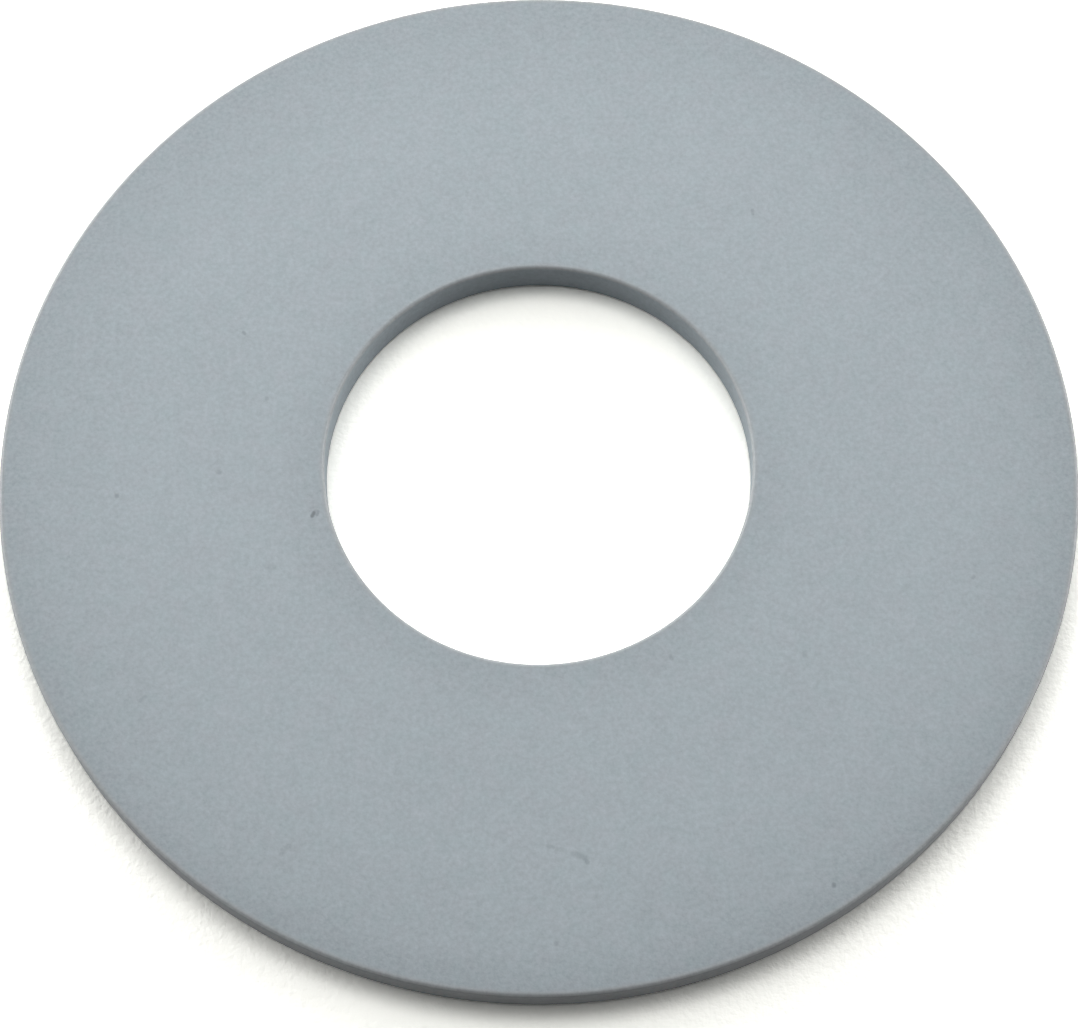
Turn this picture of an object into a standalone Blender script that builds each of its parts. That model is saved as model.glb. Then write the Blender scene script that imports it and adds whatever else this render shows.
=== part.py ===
"""A flush valve seal: one flat ring of soft grey-blue rubber that lies under a cistern's flush valve.

Sizes are in metres. The ring lies flat. Its origin is the middle of its underside, and +Z runs up
its axis.
"""

import math

import bmesh
import bpy
from mathutils import Vector

# Sizes of the ring
OUTER_DIAMETER = 0.063
BORE_DIAMETER = 0.025
THICKNESS = 0.0025

# Rounding of its edges, top and bottom
OUTER_EDGE_RADIUS = 0.00025
BORE_EDGE_RADIUS = 0.0002

# How finely the round forms are divided
RING_SEGMENTS = 192
EDGE_SEGMENTS = 3

# Finish of the rubber, its colour in linear light
RUBBER_COLOUR = (0.371, 0.418, 0.445, 1.0)
RUBBER_ROUGHNESS = 0.8

HALF_TURN = math.pi
QUARTER_TURN = math.pi / 2


def clear_scene():
    """Remove whatever the scene holds, so that only the seal is left."""
    for old in list(bpy.data.objects):
        bpy.data.objects.remove(old, do_unlink=True)


def rounded_corner(corner_x, corner_z, inward_x, inward_z, radius, start_angle):
    """Points of one rounded corner of the section, as (distance from the axis, height).

    The arc's centre lies one radius inwards from the corner on both axes, and the arc runs a
    quarter turn anticlockwise from start_angle.
    """
    centre_x = corner_x + inward_x * radius
    centre_z = corner_z + inward_z * radius
    points = []
    for step in range(EDGE_SEGMENTS + 1):
        angle = start_angle + QUARTER_TURN * step / EDGE_SEGMENTS
        points.append((centre_x + radius * math.cos(angle), centre_z + radius * math.sin(angle)))
    return points


def ring_section():
    """The ring's cut section: a flat bar with four rounded corners, listed anticlockwise."""
    outer = OUTER_DIAMETER / 2
    bore = BORE_DIAMETER / 2
    largest_radius = 0.49 * min(THICKNESS, outer - bore)
    outer_edge = min(OUTER_EDGE_RADIUS, largest_radius)
    bore_edge = min(BORE_EDGE_RADIUS, largest_radius)
    return (
        rounded_corner(bore, 0.0, 1, 1, bore_edge, HALF_TURN)
        + rounded_corner(outer, 0.0, -1, 1, outer_edge, -QUARTER_TURN)
        + rounded_corner(outer, THICKNESS, -1, -1, outer_edge, 0.0)
        + rounded_corner(bore, THICKNESS, 1, -1, bore_edge, QUARTER_TURN)
    )


def turned_mesh(name, section):
    """Turn a closed section once round the Z axis into a closed solid."""
    shape = bmesh.new()
    corners = [shape.verts.new((distance, 0.0, height)) for distance, height in section]
    edges = [shape.edges.new((corners[i - 1], corners[i])) for i in range(len(corners))]
    bmesh.ops.spin(
        shape,
        geom=corners + edges,
        cent=Vector((0.0, 0.0, 0.0)),
        axis=Vector((0.0, 0.0, 1.0)),
        angle=2 * math.pi,
        steps=RING_SEGMENTS,
        use_merge=True,
    )
    bmesh.ops.recalc_face_normals(shape, faces=shape.faces[:])
    mesh = bpy.data.meshes.new(name)
    shape.to_mesh(mesh)
    shape.free()
    mesh.shade_smooth()
    return mesh


def rubber_material():
    """Matt grey-blue rubber."""
    material = bpy.data.materials.new("grey_rubber")
    material.use_nodes = True
    material.diffuse_color = RUBBER_COLOUR
    surface = material.node_tree.nodes["Principled BSDF"]
    surface.inputs["Base Color"].default_value = RUBBER_COLOUR
    surface.inputs["Metallic"].default_value = 0.0
    surface.inputs["Roughness"].default_value = RUBBER_ROUGHNESS
    return material


def make_seal_ring():
    """The whole seal: one rubber ring, moulded in one piece."""
    mesh = turned_mesh("seal_ring", ring_section())
    mesh.materials.append(rubber_material())
    ring = bpy.data.objects.new("seal_ring", mesh)
    bpy.context.scene.collection.objects.link(ring)
    # The wide flat faces keep their own normals, so that only the rounded edges shade round
    flat_faces = ring.modifiers.new("flat faces stay flat", "WEIGHTED_NORMAL")
    flat_faces.mode = "FACE_AREA"
    return ring


clear_scene()
make_seal_ring()
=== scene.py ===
import math

import bpy
import numpy as np
from mathutils import Matrix, Vector


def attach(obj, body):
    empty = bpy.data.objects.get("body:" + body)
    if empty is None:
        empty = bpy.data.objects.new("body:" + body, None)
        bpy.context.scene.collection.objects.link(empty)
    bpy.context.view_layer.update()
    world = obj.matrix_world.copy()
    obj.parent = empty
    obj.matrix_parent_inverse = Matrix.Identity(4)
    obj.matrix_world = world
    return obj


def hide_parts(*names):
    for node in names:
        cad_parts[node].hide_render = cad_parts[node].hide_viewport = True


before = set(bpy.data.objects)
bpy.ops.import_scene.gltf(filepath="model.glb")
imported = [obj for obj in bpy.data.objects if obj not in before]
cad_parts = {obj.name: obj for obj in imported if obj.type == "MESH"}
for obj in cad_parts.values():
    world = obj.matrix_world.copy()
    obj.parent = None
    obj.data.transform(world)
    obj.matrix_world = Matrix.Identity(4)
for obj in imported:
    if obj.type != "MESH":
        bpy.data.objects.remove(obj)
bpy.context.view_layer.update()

scene = bpy.context.scene
millimetre = 0.001
print("the packed seal is loaded")


# the seal's real sizes: the outer rim is how far it reaches along X, the bore is the nearest point to
# the axis, and each edge's rounding is how far below the top face the straight wall starts
def readSeal(nodeName):
    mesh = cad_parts[nodeName].data
    points = np.empty(len(mesh.vertices) * 3)
    mesh.vertices.foreach_get("co", points)
    points = points.reshape(-1, 3)
    reach = np.hypot(points[:, 0], points[:, 1])
    height = points[:, 2]
    hair = 0.01 * millimetre
    onRim = reach > reach.max() - hair
    onBore = reach < reach.min() + hair
    return {
        "outer": min(points[:, 0].max(), -points[:, 0].min()),
        "bore": reach.min(),
        "foot": height.min(),
        "top": height.max(),
        "rimRounding": height.max() - height[onRim].max(),
        "boreRounding": height.max() - height[onBore].max(),
    }


sealSize = readSeal("seal_ring")


# where the camera stood: straight in front of the seal and high above it, a little rolled
cameraView = {
    "elevation": math.radians(68.27),
    "roll": math.radians(-0.80),
    "distance": 157.77 * millimetre,
    "sideways": -0.02 * millimetre,       # from the seal's middle to the middle of the view
    "upwards": 2.24 * millimetre,
    "photoWidth": 1078,                   # pixels
    "focalLength": 2660.5,                # pixels
    "sensor": 36.0,                       # millimetres across the photo's width
    "clipStart": 0.01,                    # metres: nothing nearer is drawn
}


# the camera's three axes: back along the line of sight, right and up square to it, then right and
# up are turned about the line of sight by the roll
def makeCamera(look):
    back = Vector((0, -math.cos(look["elevation"]), math.sin(look["elevation"])))
    level = Vector((1, 0, 0))
    upright = back.cross(level)
    right = math.cos(look["roll"]) * level + math.sin(look["roll"]) * upright
    up = math.cos(look["roll"]) * upright - math.sin(look["roll"]) * level
    place = look["distance"] * back - look["sideways"] * right - look["upwards"] * up
    data = bpy.data.cameras.new("camera")
    data.sensor_width = look["sensor"]
    data.lens = look["focalLength"] * look["sensor"] / look["photoWidth"]
    data.clip_start = look["clipStart"]
    camera = bpy.data.objects.new("camera", data)
    turn = Matrix((right, up, back)).transposed().to_4x4()
    camera.matrix_world = Matrix.Translation(place) @ turn
    scene.collection.objects.link(camera)
    scene.camera = camera


makeCamera(cameraView)
print("the camera stands where the photo was taken")


# one output socket in a material: arithmetic on it adds Math nodes to the same tree
class Wire:
    def __init__(self, tree, socket=None):
        self.tree = tree
        self.socket = socket

    # adds any node: its settings first, then a value or a wire for each named socket
    def node(self, kind, settings, sockets, output=0):
        made = self.tree.nodes.new(kind)
        for name, value in settings.items():
            setattr(made, name, value)
        for name, value in sockets.items():
            if isinstance(value, Wire):
                self.tree.links.new(value.socket, made.inputs[name])
            else:
                made.inputs[name].default_value = value
        return Wire(self.tree, made.outputs[output]) if made.outputs else None

    # a Math node whose first value is this wire
    def maths(self, operation, *others):
        return self.node("ShaderNodeMath", {"operation": operation}, dict(enumerate((self, *others))))

    # a Vector Math node, where the second value's socket is 1, or "Scale" for a plain factor
    def vector(self, operation, others, output=0):
        return self.node("ShaderNodeVectorMath", {"operation": operation}, {0: self, **others}, output)

    def __add__(self, other):
        return self.maths("ADD", other)

    __radd__ = __add__

    def __mul__(self, other):
        return self.maths("MULTIPLY", other)

    __rmul__ = __mul__

    def __sub__(self, other):
        return self.maths("SUBTRACT", other)

    def __rsub__(self, other):
        return self * -1 + other

    # the larger of this and the other
    def above(self, other):
        return self.maths("MAXIMUM", other)

    # a fixed vector scaled by this
    def scaling(self, fixed):
        return self.node("ShaderNodeVectorMath", {"operation": "SCALE"}, {0: fixed, "Scale": self})

    # one colour that turns into another as this goes from 0 to 1: each is a wire, or red, green and
    # blue, and 6, 7 and the output 2 are the Mix node's own colour sockets
    def mix(self, first, second):
        ends = {number: colour if isinstance(colour, Wire) else (*colour, 1)
                for number, colour in ((6, first), (7, second))}
        return self.node("ShaderNodeMix", {"data_type": "RGBA"}, {"Factor": self, **ends}, 2)

    # first at low and below, last at high and above, and a smooth step between
    def step(self, low, high, first=0.0, last=1.0):
        return self.node("ShaderNodeMapRange", {"interpolation_type": "SMOOTHSTEP"}, {
            "Value": self,
            "From Min": low,
            "From Max": high,
            "To Min": first,
            "To Max": last,
        })

    # soft noise about zero, with its size in the units of this vector
    def noise(self, size):
        return self.node("ShaderNodeTexNoise", {}, {
            "Vector": self,
            "Scale": 1 / size,
            "Detail": 2.0,
            "Roughness": 0.55,
        }) - 0.5

    # the normal of a surface that this raises, in mm
    def relief(self):
        return self.node("ShaderNodeBump", {}, {
            "Height": self,
            "Distance": millimetre,
            "Strength": 1.0,
        })


# an empty material, and its tree
def newMaterial(name):
    material = bpy.data.materials.new(name)
    material.use_nodes = True
    material.node_tree.nodes.clear()
    return material, Wire(material.node_tree)


# the place on the piece, in mm
def placeInMillimetres(shader):
    metres = shader.node("ShaderNodeTexCoord", {}, {}, "Object")
    return metres.vector("SCALE", {"Scale": 1 / millimetre})


greyRubber = {
    "colour": (0.376, 0.427, 0.458),
    "roughness": 0.72,
    "roughnessSpread": 0.12,
    "edgeRoughness": 0.26,                # the rounded edges are smoother than the faces and walls
    "specular": 0.40,
    # patterns that make the colour lighter and darker: each one's strength as a share, and size in mm
    "patterns": {
        "clouds": (0.058, 8.0),
        "mottle": (0.125, 1.2),
        "speckle": (0.325, 0.27),
        "grain": (0.135, 0.11),
    },
    # a faint warm and cool tint, as what it adds to red, green and blue, and its size in mm
    "tint": ((0.024, -0.008, 0.0), 1.0),
    # how far the tone falls towards the outer rim and the bore, and over how many mm
    "rimFalls": ((0.078, 9.0), (0.045, 3.0)),
    "boreFall": (0.060, 3.8),
    "edgeColour": (0.400, 0.423, 0.435),  # near the rim and the bore the faces are less blue
    "edgeBlend": 0.45,                    # over how many mm
    "paintedShadeWallColour": (0.294, 0.310, 0.322),  # painted shade: the outer wall is darker and greyer than the faces, for the shade on it away from the lamps and the warm light the ground throws back
    "paintedShadeWallBlend": 0.08,                    # mm in from the rim, over which the painted wall shade turns into the faces' colour
    "grainHeight": 0.006,                 # mm
}


# small marks on the top face: where each starts and ends in mm from the middle, half its width in
# mm, and how much darker it is than the rubber, as a share
faceMarks = [
    ((-13.16, -3.34), (-13.05, -3.12), 0.105, 0.46),     # a nick beside the bore
    ((-12.98, -3.02), (-12.84, -3.04), 0.085, 0.22),
    ((-12.83, -3.06), (-12.87, -3.25), 0.090, 0.26),
    ((-24.55, -1.89), (-24.55, -1.92), 0.125, 0.23),     # specks
    ((-18.65, -0.47), (-18.63, -0.51), 0.150, 0.19),
    ((-17.47, 8.51), (-17.39, 8.41), 0.090, 0.25),
    ((15.89, -25.53), (15.89, -25.62), 0.115, 0.30),
    ((14.96, -12.12), (14.96, -12.25), 0.135, 0.16),
    ((24.82, -7.73), (24.89, -7.65), 0.110, 0.14),
    ((0.58, -28.59), (0.60, -28.60), 0.125, 0.15),
    ((-15.97, 4.19), (-15.97, 4.11), 0.110, 0.15),
    ((-15.77, -6.42), (-15.26, -6.46), 0.140, 0.095),
    ((7.35, -12.21), (7.40, -12.31), 0.130, 0.135),
    ((-22.62, -14.41), (-22.42, -14.20), 0.135, 0.12),
    ((13.21, 15.99), (13.19, 16.25), 0.095, 0.18),
    ((0.24, -23.15), (0.50, -23.22), 0.120, 0.16),       # a broken scratch
    ((0.72, -23.34), (1.12, -23.37), 0.115, 0.085),
    ((1.62, -23.60), (2.22, -23.82), 0.160, 0.17),
    ((2.25, -23.92), (2.40, -24.10), 0.115, 0.21),
    ((-14.50, -23.42), (-14.41, -23.14), 0.130, 0.10),   # a scuff
    ((-14.38, -23.07), (-14.09, -22.94), 0.150, 0.085),
]


# where a mark starts to fade and where it is gone, as shares of half its width
markFade = (0.35, 1.65)


# how dark a straight mark makes a place: the place's share of the way along the mark is its offset
# from the start dotted with the run over the run's squared length, held from 0 to 1, and the
# distance that is left to that point of the mark fades it out over its width
def markDarkness(place, start, end, halfWidth, darkness, height):
    first, run = Vector((*start, height)), Vector((end[0] - start[0], end[1] - start[1], 0))
    offset = place.vector("SUBTRACT", {1: first})
    share = offset.vector("DOT_PRODUCT", {1: run / run.length_squared}, "Value")
    share = place.node("ShaderNodeClamp", {}, {"Value": share})
    distance = offset.vector("DISTANCE", {1: share.scaling(run)}, "Value")
    return distance.step(markFade[0] * halfWidth, markFade[1] * halfWidth, darkness, 0)


# matt rubber: its tone is one plus each pattern times its strength, less the falls towards both rims,
# times one less the marks. The faces' colour, which turns greyer near the edges and then into the
# painted shade of the wall at the rim, is scaled by that tone, and the tint is added. The relief is the
# two finest patterns, and the roughness is its plain value plus the mottle, and less on the rounded
# edges
def makeRubber(look, marks, size):
    material, shader = newMaterial("matt_grey_rubber")
    place = placeInMillimetres(shader)

    tone, pattern = 1, {}
    for name, (strength, width) in look["patterns"].items():
        pattern[name] = place.noise(width)
        tone = tone + strength * pattern[name]

    reach = place.vector("MULTIPLY", {1: (1, 1, 0)}).vector("LENGTH", {}, "Value")
    outer, bore = size["outer"] / millimetre, size["bore"] / millimetre
    for fall, width in look["rimFalls"]:
        tone = tone - reach.step(outer - width, outer, 0, fall)
    fall, width = look["boreFall"]
    tone = tone - reach.step(bore, bore + width, fall, 0)

    marked = 0
    for mark in marks:
        marked = markDarkness(place, *mark, size["top"] / millimetre).above(marked)
    tone = tone * (1 - marked)

    # one on the top and the underside, with their roundings, and zero on the walls
    rimEdge, boreEdge = size["rimRounding"] / millimetre, size["boreRounding"] / millimetre
    half = (size["top"] - size["foot"]) / 2 / millimetre
    height = (place.vector("DOT_PRODUCT", {1: (0, 0, 1)}, "Value") - half).maths("ABSOLUTE")
    offWall = height.step(half - rimEdge, half - rimEdge / 2)

    blend, paintedShadeWallBlend = look["edgeBlend"], look["paintedShadeWallBlend"]
    nearEdge = reach.step(outer - blend, outer - paintedShadeWallBlend).above(reach.step(bore, bore + blend, 1, 0))
    colour = (nearEdge * offWall).mix(look["colour"], look["edgeColour"])
    # painted shade: the outer wall gets a darker, greyer colour that stands in for the shade on it
    colour = reach.step(outer - paintedShadeWallBlend, outer).mix(colour, look["paintedShadeWallColour"])
    tint, tintWidth = look["tint"]
    tint = place.noise(tintWidth).scaling(tint)
    colour = colour.vector("SCALE", {"Scale": tone}).vector("ADD", {1: tint})

    grain = (pattern["grain"] + pattern["speckle"]) * look["grainHeight"]
    edges = reach.step(outer - rimEdge, outer - rimEdge / 2)
    edges = edges.above(reach.step(bore + boreEdge / 2, bore + boreEdge, 1, 0)) * offWall
    rough = look["roughness"] + pattern["mottle"] * look["roughnessSpread"]
    surface = shader.node("ShaderNodeBsdfPrincipled", {}, {
        "Base Color": colour,
        "Roughness": rough - edges * (look["roughness"] - look["edgeRoughness"]),
        "Normal": grain.relief(),
        "Metallic": 0.0,
        "Specular IOR Level": look["specular"],
    })
    shader.node("ShaderNodeOutputMaterial", {}, {"Surface": surface})
    return material


sealMesh = {
    "around": 384,                        # points round the ring
    "boreEase": 0.04 * millimetre,        # how much the soft bore has opened beyond its plain radius
    "faceSpans": 44,                      # across each flat face
    "wallSpans": 8,                       # up each wall
    "edgeSpans": 10,                      # round each edge
    "sink": 0.07 * millimetre,            # how far the top falls away towards the outer rim
    "lift": 0.15 * millimetre,            # how far the underside lifts off the ground there
    "fallWidth": 2.0 * millimetre,        # and over what width
}


# shares from 0 to 1 that crowd towards both ends, as a half circle seen edge on
def crowded(spans):
    return 0.5 - 0.5 * np.cos(np.linspace(0, np.pi, spans + 1))


# a quarter circle about its own centre, from the start angle on, as distances and heights
def roundedEdge(centreDistance, centreHeight, rounding, start, spans):
    angle = start + np.linspace(0, np.pi / 2, spans + 1)
    return centreDistance + rounding * np.cos(angle), centreHeight + rounding * np.sin(angle)


# how far a face has fallen away at a distance from the axis, as a share of its whole fall: the square
# of the share of the falling width that is behind it
def fallenShare(distance, size, fine):
    behind = (distance - size["outer"] + fine["fallWidth"]) / fine["fallWidth"]
    return np.clip(behind, 0, 1) ** 2


# the ring's cut section as two arrays, distance from the axis and height: along the underside from
# bore to rim, round the edge, up the outer wall, round, back over the top, round and down the bore
def sealSection(size, fine):
    rimEdge, boreEdge, spans = size["rimRounding"], size["boreRounding"], fine["edgeSpans"]
    rim, bore = size["outer"], size["bore"] + fine["boreEase"]
    inner, outer = bore + boreEdge, rim - rimEdge
    face = inner + (outer - inner) * crowded(fine["faceSpans"])[1:-1]
    wall = crowded(fine["wallSpans"])[1:-1]
    fallen, edgeFallen = fallenShare(face, size, fine), fallenShare(outer, size, fine)
    foot, top, lift, sink = size["foot"], size["top"], fine["lift"], fine["sink"]
    rimFoot, rimTop = foot + lift * edgeFallen + rimEdge, top - sink * edgeFallen - rimEdge
    stretches = [
        roundedEdge(inner, foot + boreEdge, boreEdge, np.pi, spans),
        (face, foot + lift * fallen),
        roundedEdge(outer, rimFoot, rimEdge, -np.pi / 2, spans),
        (np.full(wall.size, rim), rimFoot + (rimTop - rimFoot) * wall),
        roundedEdge(outer, rimTop, rimEdge, 0, spans),
        (face[::-1], top - sink * fallen[::-1]),
        roundedEdge(inner, top - boreEdge, boreEdge, np.pi / 2, spans),
        (np.full(wall.size, bore), top - boreEdge - (top - foot - 2 * boreEdge) * wall),
    ]
    distances, heights = zip(*stretches)
    return np.concatenate(distances), np.concatenate(heights)


# a closed section carried round the axis: each point is its distance times the cosine and the sine
# of the angle, at its height, and both ways of the grid close on themselves
def turnedMesh(name, distance, height, around):
    angle = np.linspace(0, 2 * np.pi, around, endpoint=False)
    points = np.stack([np.outer(np.cos(angle), distance), np.outer(np.sin(angle), distance),
                       np.broadcast_to(height, (around, height.size))], axis=-1)
    turn, step = np.meshgrid(np.arange(around), np.arange(height.size), indexing="ij")
    nextTurn, nextStep = (turn + 1) % around, (step + 1) % height.size
    corners = np.stack([turn * height.size + step, nextTurn * height.size + step,
                        nextTurn * height.size + nextStep, turn * height.size + nextStep], axis=-1)
    mesh = bpy.data.meshes.new(name)
    mesh.from_pydata(points.reshape(-1, 3), [], corners.reshape(-1, 4))
    mesh.shade_smooth()
    return mesh


# the seal itself: its section turned round the axis, in matt rubber with its marks
def makeSeal(size, fine):
    distance, height = sealSection(size, fine)
    mesh = turnedMesh("rubber_seal", distance, height, fine["around"])
    mesh.materials.append(makeRubber(greyRubber, faceMarks, size))
    seal = bpy.data.objects.new("rubber_seal", mesh)
    scene.collection.objects.link(seal)
    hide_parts("seal_ring")
    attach(seal, "root")
    print("the seal has", len(mesh.polygons), "faces")


makeSeal(sealSize, sealMesh)


paleFloor = {
    "width": 4.0,                         # metres
    "drop": 0.01 * millimetre,            # below the seal's underside
    "colour": 0.50,
    "seenColour": (1.60, 1.60, 1.52),     # to the camera, as the photo is exposed for white
    "grain": (0.05, 0.35),                # the paper's height and size in mm
    "fadeFrom": 55.0,                     # mm from the seal's middle, past which it turns plain white
    "fadeTo": 120.0,
}


# one where the ray comes from the camera, or from a shiny or clear surface that shows what it meets,
# and zero where it only carries light
def seenDirectly(shader):
    camera = shader.node("ShaderNodeLightPath", {}, {}, "Is Camera Ray")
    rays = camera.socket.node
    glossy, clear = rays.outputs["Is Glossy Ray"], rays.outputs["Is Transmission Ray"]
    return camera.above(Wire(shader.tree, glossy)).above(Wire(shader.tree, clear))


# white paper that takes the seal's shadow, and turns plain white away from it: its share of plain
# white is a smooth step in the distance from the middle, where the ray sees it directly
def makeFloor(look):
    material, shader = newMaterial("white_ground")
    seen = seenDirectly(shader)
    grey = (look["colour"],) * 3
    place = placeInMillimetres(shader)
    grainHeight, grainWidth = look["grain"]
    grain = place.noise(grainWidth) * grainHeight
    paper = shader.node("ShaderNodeBsdfDiffuse", {}, {
        "Color": seen.mix(grey, look["seenColour"]),
        "Normal": grain.relief(),
    })
    plain = shader.node("ShaderNodeEmission", {}, {"Color": (1, 1, 1, 1), "Strength": 1.0})
    far = place.vector("LENGTH", {}, "Value").step(look["fadeFrom"], look["fadeTo"])
    surface = shader.node("ShaderNodeMixShader", {}, {0: far * seen, 1: paper, 2: plain})
    shader.node("ShaderNodeOutputMaterial", {}, {"Surface": surface})
    half, height = look["width"] / 2, sealSize["foot"] - look["drop"]
    mesh = bpy.data.meshes.new("ground")
    mesh.from_pydata([(-half, -half, height), (half, -half, height), (half, half, height),
                      (-half, half, height)], [], [(0, 1, 2, 3)])
    mesh.materials.append(material)
    floor = bpy.data.objects.new("ground", mesh)
    scene.collection.objects.link(floor)


makeFloor(paleFloor)


# soft boxes in rings round the seal: how high a ring stands, how far off it is, each box's width and
# height in metres, and the power in watts of the box at each bearing, which is 0 on the camera's side
# and 90 on its right
softBoxes = {
    "low": {"elevation": 12, "distance": 0.32, "width": 0.20, "height": 0.13,
            "powers": {90: 0.245, 120: 0.370, 210: 0.180, 240: 0.345, 270: 0.230}},
    "middle": {"elevation": 35, "distance": 0.34, "width": 0.20, "height": 0.16,
               "powers": {180: 0.276}},
    "high": {"elevation": 60, "distance": 0.36, "width": 0.20, "height": 0.18,
             "powers": {90: 0.052, 150: 0.130, 210: 0.145, 240: 0.100, 270: 0.105}},
    "top": {"elevation": 75, "distance": 0.36, "width": 0.20, "height": 0.14,
            "powers": {120: 0.064, 180: 0.225}},
}


# one soft box, which faces the seal's middle: from there its direction is the bearing's sine to the
# right and cosine to the front, both times the elevation's cosine, and the elevation's sine upwards
def makeSoftBox(name, ring, bearing, power):
    turn, rise = math.radians(bearing), math.radians(ring["elevation"])
    towards = Vector((math.sin(turn) * math.cos(rise), -math.cos(turn) * math.cos(rise), math.sin(rise)))
    data = bpy.data.lights.new(name, "AREA")
    data.shape = "RECTANGLE"
    data.size, data.size_y = ring["width"], ring["height"]
    data.energy = power
    lamp = bpy.data.objects.new(name, data)
    lamp.location = towards * ring["distance"]
    lamp.rotation_euler = towards.to_track_quat("Z", "Y").to_euler()
    lamp.visible_camera = False
    scene.collection.objects.link(lamp)


# the room: white where the camera or a shiny surface looks at it, and dark as light
def makeRoom():
    world = bpy.data.worlds.new("white_room")
    scene.world = world
    world.use_nodes = True
    world.node_tree.nodes.clear()
    shader = Wire(world.node_tree)
    light = shader.node("ShaderNodeBackground", {}, {
        "Color": (1, 1, 1, 1),
        "Strength": seenDirectly(shader),
    })
    shader.node("ShaderNodeOutputWorld", {}, {"Surface": light})


for ringName, ring in softBoxes.items():
    for bearing, power in ring["powers"].items():
        makeSoftBox(f"{ringName}_{bearing}", ring, bearing, power)
makeRoom()
scene.view_settings.view_transform = "Standard"
print("the ground, the soft boxes and the room are in place")
